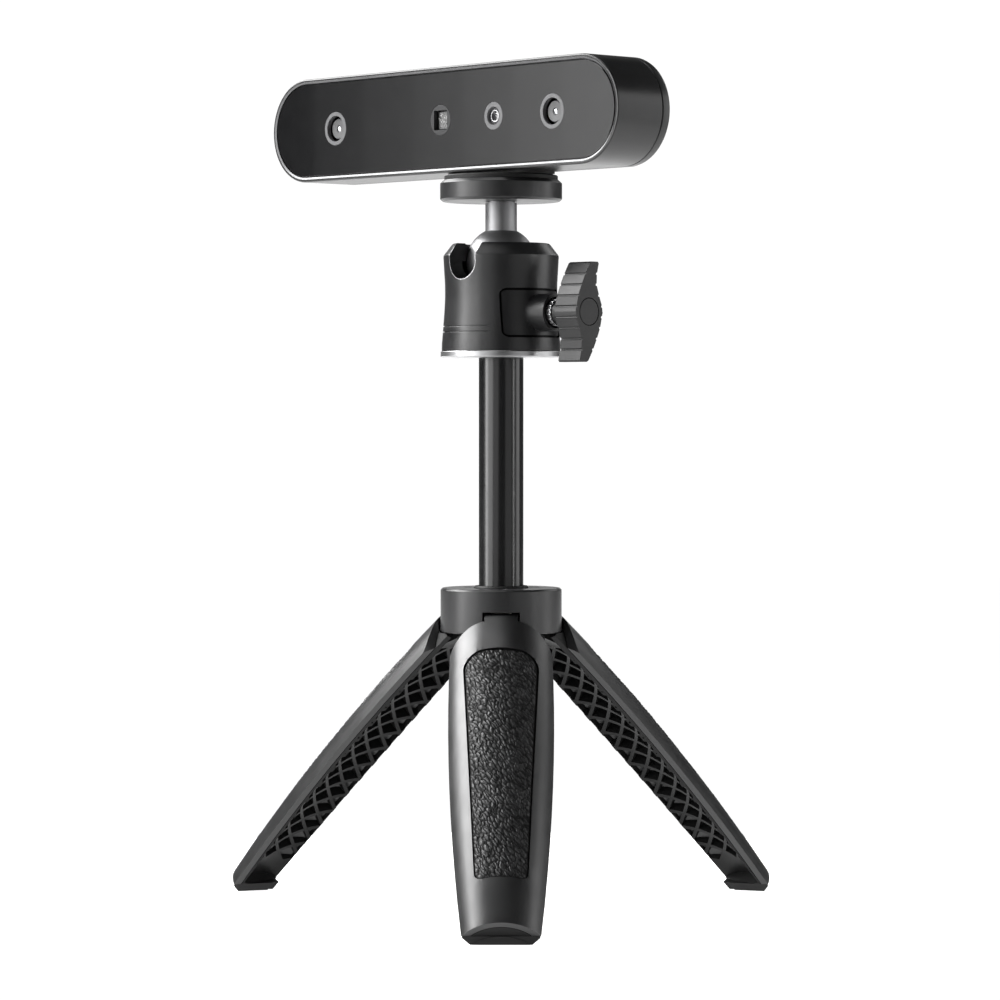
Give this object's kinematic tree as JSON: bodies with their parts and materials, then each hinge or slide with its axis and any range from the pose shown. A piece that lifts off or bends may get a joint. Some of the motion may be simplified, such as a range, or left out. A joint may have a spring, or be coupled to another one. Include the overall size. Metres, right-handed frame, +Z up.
{
  "type": "tabletop stereo 3-d scanner on mini tripod",
  "caption": "Bar-shaped stereo 3-D scanner with a glass front, on a ball head with clamp knob, a sliding pole and a folding three-leg grip tripod.",
  "frame": {"origin": "on the floor, on the axis of the pole", "axes": "+Z up along the pole, -Y along the front leg; the scanner's glass faces between -X and -Y"},
  "size_m": [0.1986, 0.2039, 0.3008],
  "materials": {
    "collar": "black anodised, satin",
    "hinge_block": "cast, dark",
    "pole_bush": "natural acetal",
    "pole_wiper_ring": "moulded",
    "hub_screws": "zinc plated",
    "hinge_pins": "ground",
    "front_leg_shell": "moulded, satin",
    "front_leg_frame": "moulded, matt",
    "front_leg_grip": "leather grain",
    "front_leg_foot": "moulded",
    "right_leg_shell": "moulded, satin",
    "right_leg_frame": "moulded, matt",
    "right_leg_grip": "leather grain",
    "right_leg_foot": "moulded",
    "left_leg_shell": "moulded, satin",
    "left_leg_frame": "moulded, matt",
    "left_leg_grip": "leather grain",
    "left_leg_foot": "moulded",
    "pole_tube": "black anodised, glossy",
    "pole_stop_ring": "moulded",
    "pole_head_plug": "turned",
    "base_ring": "turned, bright",
    "head_body": "black anodised, satin",
    "seat_pusher": "turned",
    "seat_spring": "wave spring",
    "ball_seat": "natural acetal",
    "clamp_pin": "turned",
    "knob": "moulded, satin",
    "knob_cap": "moulded, satin",
    "knob_screw": "zinc plated",
    "knob_washer": "serrated",
    "ball_stem": "grey anodised, satin",
    "mount_disc": "black anodised, satin",
    "disc_pad": "moulded",
    "mount_screw": "stainless",
    "front_housing": "black, satin",
    "bezel_ring": "bright chamfer",
    "front_glass": "smoked, coated",
    "rear_cover": "black, satin",
    "rear_cover_screws": "black oxide",
    "tripod_bush": "threaded insert",
    "mount_foot": "moulded",
    "inner_chassis": "sheet",
    "main_board": "circuit board",
    "board_screws": "zinc plated",
    "left_camera_ring": "grey, satin",
    "left_camera_barrel": "moulded",
    "left_camera_lens": "coated",
    "right_camera_ring": "grey, satin",
    "right_camera_barrel": "moulded",
    "right_camera_lens": "coated",
    "colour_camera_ring": "grey, satin",
    "colour_camera_lens": "lens module",
    "projector_ring": "grey, satin",
    "projector_engine": "light engine",
    "usb_socket": "stamped shell",
    "status_light": "light pipe",
    "scan_button": "moulded, satin"
  },
  "bodies": {
    "base": {"collar": "collar", "hinge_block": "hinge_block", "pole_bush": "pole_bush", "pole_wiper_ring": "pole_wiper_ring", "hub_screws": "hub_screws", "hinge_pins": "hinge_pins"},
    "front_leg": {"front_leg_shell": "front_leg_shell", "front_leg_frame": "front_leg_frame", "front_leg_grip": "front_leg_grip", "front_leg_foot": "front_leg_foot"},
    "right_leg": {"right_leg_shell": "right_leg_shell", "right_leg_frame": "right_leg_frame", "right_leg_grip": "right_leg_grip", "right_leg_foot": "right_leg_foot"},
    "left_leg": {"left_leg_shell": "left_leg_shell", "left_leg_frame": "left_leg_frame", "left_leg_grip": "left_leg_grip", "left_leg_foot": "left_leg_foot"},
    "pole": {"pole_tube": "pole_tube", "pole_stop_ring": "pole_stop_ring", "pole_head_plug": "pole_head_plug"},
    "head": {"base_ring": "base_ring", "head_body": "head_body", "seat_pusher": "seat_pusher", "seat_spring": "seat_spring", "ball_seat": "ball_seat"},
    "clamp": {"clamp_pin": "clamp_pin"},
    "knob": {"knob": "knob", "knob_cap": "knob_cap", "knob_screw": "knob_screw", "knob_washer": "knob_washer"},
    "ball": {"ball_stem": "ball_stem", "mount_disc": "mount_disc", "disc_pad": "disc_pad", "mount_screw": "mount_screw"},
    "scanner": {"front_housing": "front_housing", "bezel_ring": "bezel_ring", "front_glass": "front_glass", "rear_cover": "rear_cover", "rear_cover_screws": "rear_cover_screws", "tripod_bush": "tripod_bush", "mount_foot": "mount_foot", "inner_chassis": "inner_chassis", "main_board": "main_board", "board_screws": "board_screws", "left_camera_ring": "left_camera_ring", "left_camera_barrel": "left_camera_barrel", "left_camera_lens": "left_camera_lens", "right_camera_ring": "right_camera_ring", "right_camera_barrel": "right_camera_barrel", "right_camera_lens": "right_camera_lens", "colour_camera_ring": "colour_camera_ring", "colour_camera_lens": "colour_camera_lens", "projector_ring": "projector_ring", "projector_engine": "projector_engine", "usb_socket": "usb_socket", "status_light": "status_light"},
    "scan_button": {"scan_button": "scan_button"}
  },
  "joints": [
    {"name": "front_leg_fold", "type": "hinge", "parent": "base", "child": "front_leg", "pos_m": [0, -0.012, 0.1025], "axis": [1, 0, 0], "range_deg": [0, 45]},
    {"name": "right_leg_fold", "type": "hinge", "parent": "base", "child": "right_leg", "pos_m": [0.01039, 0.006, 0.1025], "axis": [-0.5, 0.866, 0], "range_deg": [0, 45]},
    {"name": "left_leg_fold", "type": "hinge", "parent": "base", "child": "left_leg", "pos_m": [-0.01039, 0.006, 0.1025], "axis": [-0.5, -0.866, 0], "range_deg": [0, 45]},
    {"name": "pole_slide", "type": "slide", "parent": "base", "child": "pole", "axis": [0, 0, 1], "range_m": [-0.078, 0]},
    {"name": "head_turn", "type": "hinge", "parent": "pole", "child": "head", "pos_m": [0, 0, 0.1965], "axis": [0, 0, 1], "continuous": true},
    {"name": "ball_tilt", "type": "hinge", "parent": "head", "child": "ball", "pos_m": [0, 0, 0.2306], "axis": [0.7071, -0.7071, 0], "range_deg": [-25, 90]},
    {"name": "scanner_turn", "type": "hinge", "parent": "ball", "child": "scanner", "pos_m": [0, 0, 0.2615], "axis": [0, 0, 1], "continuous": true},
    {"name": "clamp_travel", "type": "slide", "parent": "head", "child": "clamp", "axis": [0.7071, -0.7071, 0], "range_m": [-0.0001, 0.00095]},
    {"name": "knob_turn", "type": "hinge", "parent": "clamp", "child": "knob", "pos_m": [0, 0, 0.2122], "axis": [0.7071, -0.7071, 0], "range_deg": [-30, 330]},
    {"name": "scan_button_press", "type": "slide", "parent": "scanner", "child": "scan_button", "axis": [-0.7431, -0.6691, 0], "range_m": [0, 0.0006], "stiffness_N_per_m": 600, "springref_m": -0.0002}
  ],
  "couplings": [
    {"joint": "clamp_travel", "follows": "knob_turn", "m_per_rad": 0.00015915}
  ]
}
